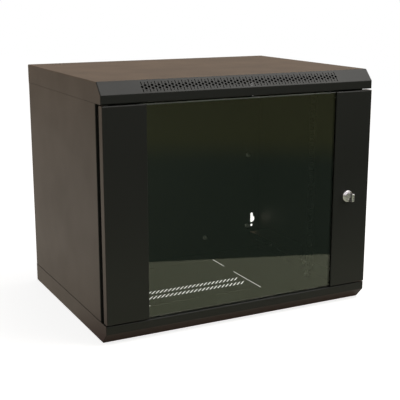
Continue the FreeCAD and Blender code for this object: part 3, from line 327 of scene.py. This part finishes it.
def hinge_spring():
    """Open coil between two closed end turns, built at one length; the real spring shortens as the
    sprung pin is drawn down.
    """
    low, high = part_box("hinge_spring")
    axis_x, axis_y = (low[0] + high[0]) / 2, (low[1] + high[1]) / 2
    radius = (high[0] - low[0] - SPRING_WIRE) / 2
    rise = high[2] - low[2] - SPRING_WIRE
    count = SPRING_TURNS * TURN_POINTS
    curve = bpy.data.curves.new("hinge_spring_path", "CURVE")
    curve.dimensions = "3D"
    curve.bevel_depth = SPRING_WIRE / 2
    curve.bevel_resolution = WIRE_RESOLUTION
    curve.use_fill_caps = True
    coil = curve.splines.new("POLY")
    coil.points.add(count)
    for i in range(count + 1):
        turn = i / TURN_POINTS
        angle = 2 * math.pi * turn
        coil.points[i].co = (axis_x + radius * math.cos(angle), axis_y + radius * math.sin(angle),
                             low[2] + SPRING_WIRE / 2 + rise * climb(turn, SPRING_WIRE / rise), 1)
    path = bpy.data.objects.new("hinge_spring_path", curve)
    mesh = bpy.data.meshes.new_from_object(path)
    bpy.data.objects.remove(path)
    mesh.polygons.foreach_set("use_smooth", [True] * len(mesh.polygons))
    mesh.materials.clear()
    mesh.materials.append(FINISHES["spring_steel"])
    piece = bpy.data.objects.new("sprung_coil", mesh)
    bpy.context.scene.collection.objects.link(piece)
    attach(piece, "door")
    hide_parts("hinge_spring")
    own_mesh(piece)


hinge_spring()


# ---------------------------------------------------------------- studio

# two points on the table's front edge, and half of the top's width and depth
TABLE_EDGE = (Vector((-0.005, -0.672, 0)), Vector((0.428, -0.528, 0)))
TABLE_REACH = 4.0
PAPER_DARK = (0.60, 0.60, 0.60)
PAPER_LIGHT = (0.62, 0.62, 0.62)
FLOOR_WHITE = 0.8
# painted reflection: a glow that only gloss sees on the floor, from the first Y to the second
FLOOR_TURNS = (-0.30, 0.0)
# the dark reddish middle stop is painted shade where the cabinet shades the floor; the warm last
# stop paints a warm reflection
FLOOR_PAINTED_REFLECTION = [(0, (0.19, 0.24, 0.05)), (0.35, (0.26, 0.13, 0.10)), (1, (0.90, 0.74, 0.58))]


def studio_floor():
    """A pale table top that ends a little in front of the cabinet; in gloss it shows a painted
    reflection, with painted shade near the cabinet.
    """
    start, end = TABLE_EDGE
    along = (end - start).normalized()
    away = Vector((-along.y, along.x, 0))
    left = start - along * TABLE_REACH
    right = start + along * TABLE_REACH
    back = away * 2 * TABLE_REACH
    mesh = bpy.data.meshes.new("studio_floor")
    mesh.from_pydata([left, right, right + back, left + back], [], [(0, 1, 2, 3)])
    floor = bpy.data.objects.new("studio_floor", mesh)
    bpy.context.scene.collection.objects.link(floor)
    s = new_shade("pale_floor")
    lit = s.node("BsdfDiffuse")
    s.tint(lit.inputs["Color"], s.tones(s.noise(scale=3, detail=2), PAPER_DARK, PAPER_LIGHT))
    seen, glossy = s.ray_kinds()
    depth = s.spread(s.axis(s.place(), "Y"), 0, 1, *FLOOR_TURNS)
    white = s.glow((1, 1, 1), s.math("MULTIPLY", seen, FLOOR_WHITE))
    # painted reflection and painted shade: the floor glows for glossy rays only
    mirrored = s.glow(s.ramp(depth, FLOOR_PAINTED_REFLECTION), glossy)
    mesh.materials.append(s.finish(s.add(lit.outputs[0], s.add(white, mirrored))))


# what gloss sees around it, from straight down at 0 to straight up at 1
ROOM_IN_FRONT = [
    (0.0, (0.12, 0.16, 0.12)), (0.405, (0.12, 0.16, 0.12)), (0.418, (0.22, 0.235, 0.12)),
    (0.47, (0.22, 0.22, 0.12)), (0.62, (0.35, 0.35, 0.3)), (0.69, (1.6, 1.6, 1.55)),
    (0.86, (1.6, 1.6, 1.55)), (0.92, (0.7, 0.7, 0.69))]
WALL_BEHIND = [
    (0.0, (0.4, 0.3, 0.22)), (0.48, (0.85, 0.65, 0.46)), (0.52, (1.28, 0.82, 0.52)),
    (0.64, (1.25, 0.82, 0.52)), (0.74, (0.8, 0.74, 0.66)), (0.82, (0.7, 0.7, 0.69))]
# the room gives way to the wall between these two values of a direction's Y
WALL_TURNS = (-0.2, 0.3)
AMBIENT = (1.0, 0.97, 0.93)
AMBIENT_STRENGTH = 0.35


def studio_world():
    """White where it is seen, a plain dim light on the cabinet, and a lit room in gloss."""
    world = bpy.data.worlds.new("studio")
    bpy.context.scene.world = world
    world.cycles.sampling_method = "NONE"
    s = Shade(world, "OutputWorld")
    direction = s.node("TexCoord").outputs["Generated"]
    height = s.spread(s.axis(direction, "Z"), 0, 1, -1, 1)
    room = s.background(s.ramp(height, ROOM_IN_FRONT))
    wall = s.background(s.ramp(height, WALL_BEHIND))
    behind = s.spread(s.axis(direction, "Y"), 0, 1, *WALL_TURNS)
    seen, glossy = s.ray_kinds()
    unseen = s.mix(glossy, s.background(AMBIENT, AMBIENT_STRENGTH), s.mix(behind, room, wall))
    s.finish(s.mix(seen, unseen, s.background((1, 1, 1))))


LAMP_PLACE = Vector((0.9, -0.5, 2.1))
LAMP_AIM = Vector((0, 0, 0.3))
LAMP_SIZE = 1.6
LAMP_POWER = 29
LAMP_COLOUR = (1.0, 0.97, 0.93)


def studio_lamp():
    """One large soft lamp, high on the right."""
    data = bpy.data.lights.new("overhead", "AREA")
    data.shape = "SQUARE"
    data.size = LAMP_SIZE
    data.energy = LAMP_POWER
    data.color = LAMP_COLOUR
    item = bpy.data.objects.new("overhead", data)
    item.location = LAMP_PLACE
    item.rotation_euler = (LAMP_AIM - LAMP_PLACE).to_track_quat("-Z", "Y").to_euler()
    bpy.context.scene.collection.objects.link(item)


CAMERA_PLACE = (-0.84985, -1.69544, 0.65994)
CAMERA_TILT = 76.561
CAMERA_TURN = -26.985
CAMERA_LENS = 79.08
SENSOR_WIDTH = 36


def studio_camera():
    """At the cabinet's left front, a little above it."""
    data = bpy.data.cameras.new("camera")
    data.lens = CAMERA_LENS
    data.sensor_width = SENSOR_WIDTH
    item = bpy.data.objects.new("camera", data)
    item.location = CAMERA_PLACE
    item.rotation_euler = (math.radians(CAMERA_TILT), 0, math.radians(CAMERA_TURN))
    bpy.context.scene.collection.objects.link(item)
    bpy.context.scene.camera = item


studio_floor()
studio_world()
studio_lamp()
studio_camera()
bpy.context.scene.view_settings.view_transform = "Standard"
